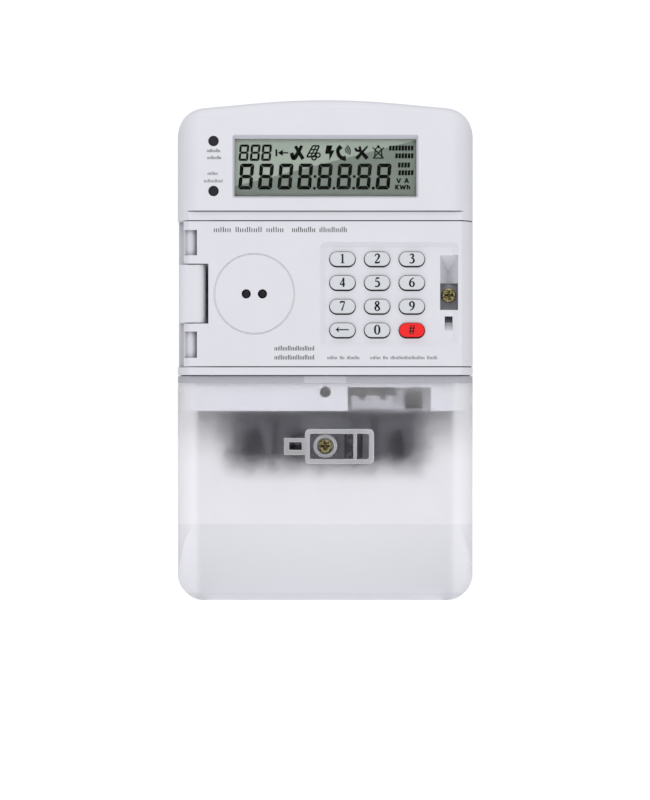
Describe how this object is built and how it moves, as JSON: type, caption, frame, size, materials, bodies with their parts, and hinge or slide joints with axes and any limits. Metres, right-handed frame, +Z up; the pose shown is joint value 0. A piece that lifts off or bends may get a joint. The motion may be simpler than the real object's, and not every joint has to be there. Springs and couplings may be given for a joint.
{
  "type": "prepaid electricity meter",
  "caption": "Wall-mounted prepaid electricity meter with display, keypad, optical port, hinged plug-in module and frosted lift-off terminal cover.",
  "frame": {"origin": "flat back face that lies against the wall, midway across and 101 mm above its lower end", "axes": "+Z up, the front faces -Y, +X to the reader's right"},
  "size_m": [0.119, 0.07, 0.2011],
  "materials": {
    "base_grey": "fine spark-eroded texture",
    "case_white": "satin",
    "door_white": "satin",
    "key_white": "satin",
    "key_red": "satin",
    "window_clear": "polished",
    "lcd": "semi-gloss",
    "light_box": "matte",
    "lens_smoke": "polished",
    "led_clear": "clear epoxy",
    "port_dark": "polished",
    "board_green": "solder mask",
    "board_film": "film",
    "chip_black": "matte",
    "relay_blue": "matte",
    "core_steel": "laminated",
    "can_sleeve": "sleeve",
    "varistor_blue": "dipped epoxy",
    "battery_wrap": "sleeve",
    "gold_contact": "gold plated",
    "tin_contact": "tinned",
    "steel": "zinc plated",
    "brass": "turned",
    "copper": "bare copper",
    "gasket_black": "rubber",
    "block_dark": "moulded",
    "aux_green": "moulded",
    "cover_frosted": "frosted",
    "pocket_clear": "polished"
  },
  "bodies": {
    "case": {"base_shell": "base_grey", "hanger_plate": "steel", "front_case": "case_white", "case_gasket": "gasket_black", "case_screws": "steel", "apron_screw": "steel", "display_window": "window_clear", "lcd_glass": "lcd", "lcd_holder": "light_box", "lcd_pins": "tin_contact", "status_lenses": "lens_smoke", "status_leds": "led_clear", "main_board": "board_green", "circuit_chips": "chip_black", "latching_relay": "relay_blue", "current_shunt": "copper", "mains_transformer": "core_steel", "smoothing_capacitors": "can_sleeve", "surge_varistor": "varistor_blue", "backup_battery": "battery_wrap", "contact_block": "chip_black", "contact_pins": "gold_contact", "terminal_block": "block_dark", "terminal_cages": "brass", "terminal_screws": "steel", "busbars": "copper", "thread_inserts": "brass", "aux_terminals": "aux_green", "cover_switch": "chip_black", "hinge_pin": "steel"},
    "module": {"module_door": "door_white", "keypad_board": "board_green", "dome_sheet": "board_film", "port_ring": "steel", "port_diodes": "port_dark", "radio_board": "board_green", "radio_shield": "tin_contact", "module_back": "base_grey", "module_screws": "steel"},
    "cover": {"terminal_cover": "cover_frosted", "seal_pocket": "pocket_clear"},
    "door_clip": {"door_screw_clip": "steel"},
    "door_screw": {"door_screw": "brass"},
    "cover_clip": {"cover_screw_clip": "steel"},
    "cover_screw": {"cover_screw": "brass"},
    "key_1": {"key_1": "key_white"},
    "key_2": {"key_2": "key_white"},
    "key_3": {"key_3": "key_white"},
    "key_4": {"key_4": "key_white"},
    "key_5": {"key_5": "key_white"},
    "key_6": {"key_6": "key_white"},
    "key_7": {"key_7": "key_white"},
    "key_8": {"key_8": "key_white"},
    "key_9": {"key_9": "key_white"},
    "key_back": {"key_back": "key_white"},
    "key_0": {"key_0": "key_white"},
    "key_enter": {"key_enter": "key_red"}
  },
  "joints": [
    {"name": "door_hinge", "type": "hinge", "parent": "case", "child": "module", "pos_m": [-0.054, -0.0635, 0.0224], "axis": [0, 0, -1], "range_deg": [0, 110]},
    {"name": "cover_lift_off", "type": "slide", "parent": "case", "child": "cover", "axis": [0, -1, 0], "range_m": [0, 0.06]},
    {"name": "key_1_press", "type": "slide", "parent": "module", "child": "key_1", "axis": [0, 1, 0], "range_m": [0, 0.0008], "stiffness_N_per_m": 1200, "springref_m": -0.0004},
    {"name": "key_2_press", "type": "slide", "parent": "module", "child": "key_2", "axis": [0, 1, 0], "range_m": [0, 0.0008], "stiffness_N_per_m": 1200, "springref_m": -0.0004},
    {"name": "key_3_press", "type": "slide", "parent": "module", "child": "key_3", "axis": [0, 1, 0], "range_m": [0, 0.0008], "stiffness_N_per_m": 1200, "springref_m": -0.0004},
    {"name": "key_4_press", "type": "slide", "parent": "module", "child": "key_4", "axis": [0, 1, 0], "range_m": [0, 0.0008], "stiffness_N_per_m": 1200, "springref_m": -0.0004},
    {"name": "key_5_press", "type": "slide", "parent": "module", "child": "key_5", "axis": [0, 1, 0], "range_m": [0, 0.0008], "stiffness_N_per_m": 1200, "springref_m": -0.0004},
    {"name": "key_6_press", "type": "slide", "parent": "module", "child": "key_6", "axis": [0, 1, 0], "range_m": [0, 0.0008], "stiffness_N_per_m": 1200, "springref_m": -0.0004},
    {"name": "key_7_press", "type": "slide", "parent": "module", "child": "key_7", "axis": [0, 1, 0], "range_m": [0, 0.0008], "stiffness_N_per_m": 1200, "springref_m": -0.0004},
    {"name": "key_8_press", "type": "slide", "parent": "module", "child": "key_8", "axis": [0, 1, 0], "range_m": [0, 0.0008], "stiffness_N_per_m": 1200, "springref_m": -0.0004},
    {"name": "key_9_press", "type": "slide", "parent": "module", "child": "key_9", "axis": [0, 1, 0], "range_m": [0, 0.0008], "stiffness_N_per_m": 1200, "springref_m": -0.0004},
    {"name": "key_back_press", "type": "slide", "parent": "module", "child": "key_back", "axis": [0, 1, 0], "range_m": [0, 0.0008], "stiffness_N_per_m": 1200, "springref_m": -0.0004},
    {"name": "key_0_press", "type": "slide", "parent": "module", "child": "key_0", "axis": [0, 1, 0], "range_m": [0, 0.0008], "stiffness_N_per_m": 1200, "springref_m": -0.0004},
    {"name": "key_enter_press", "type": "slide", "parent": "module", "child": "key_enter", "axis": [0, 1, 0], "range_m": [0, 0.0008], "stiffness_N_per_m": 1200, "springref_m": -0.0004},
    {"name": "door_screw_back_out", "type": "slide", "parent": "module", "child": "door_clip", "axis": [0, -1, 0], "range_m": [0, 0.004]},
    {"name": "door_screw_turn", "type": "hinge", "parent": "door_clip", "child": "door_screw", "pos_m": [0.0496, -0.0647, 0.0219], "axis": [0, -1, 0], "range_deg": [0, 2880]},
    {"name": "cover_screw_back_out", "type": "slide", "parent": "cover", "child": "cover_clip", "axis": [0, -1, 0], "range_m": [0, 0.0048]},
    {"name": "cover_screw_turn", "type": "hinge", "parent": "cover_clip", "child": "cover_screw", "pos_m": [0, -0.0642, -0.0386], "axis": [0, -1, 0], "range_deg": [0, 2880]}
  ],
  "couplings": [
    {"joint": "door_screw_turn", "follows": "door_screw_back_out", "rad_per_m": 12566},
    {"joint": "cover_screw_turn", "follows": "cover_screw_back_out", "rad_per_m": 10472}
  ]
}
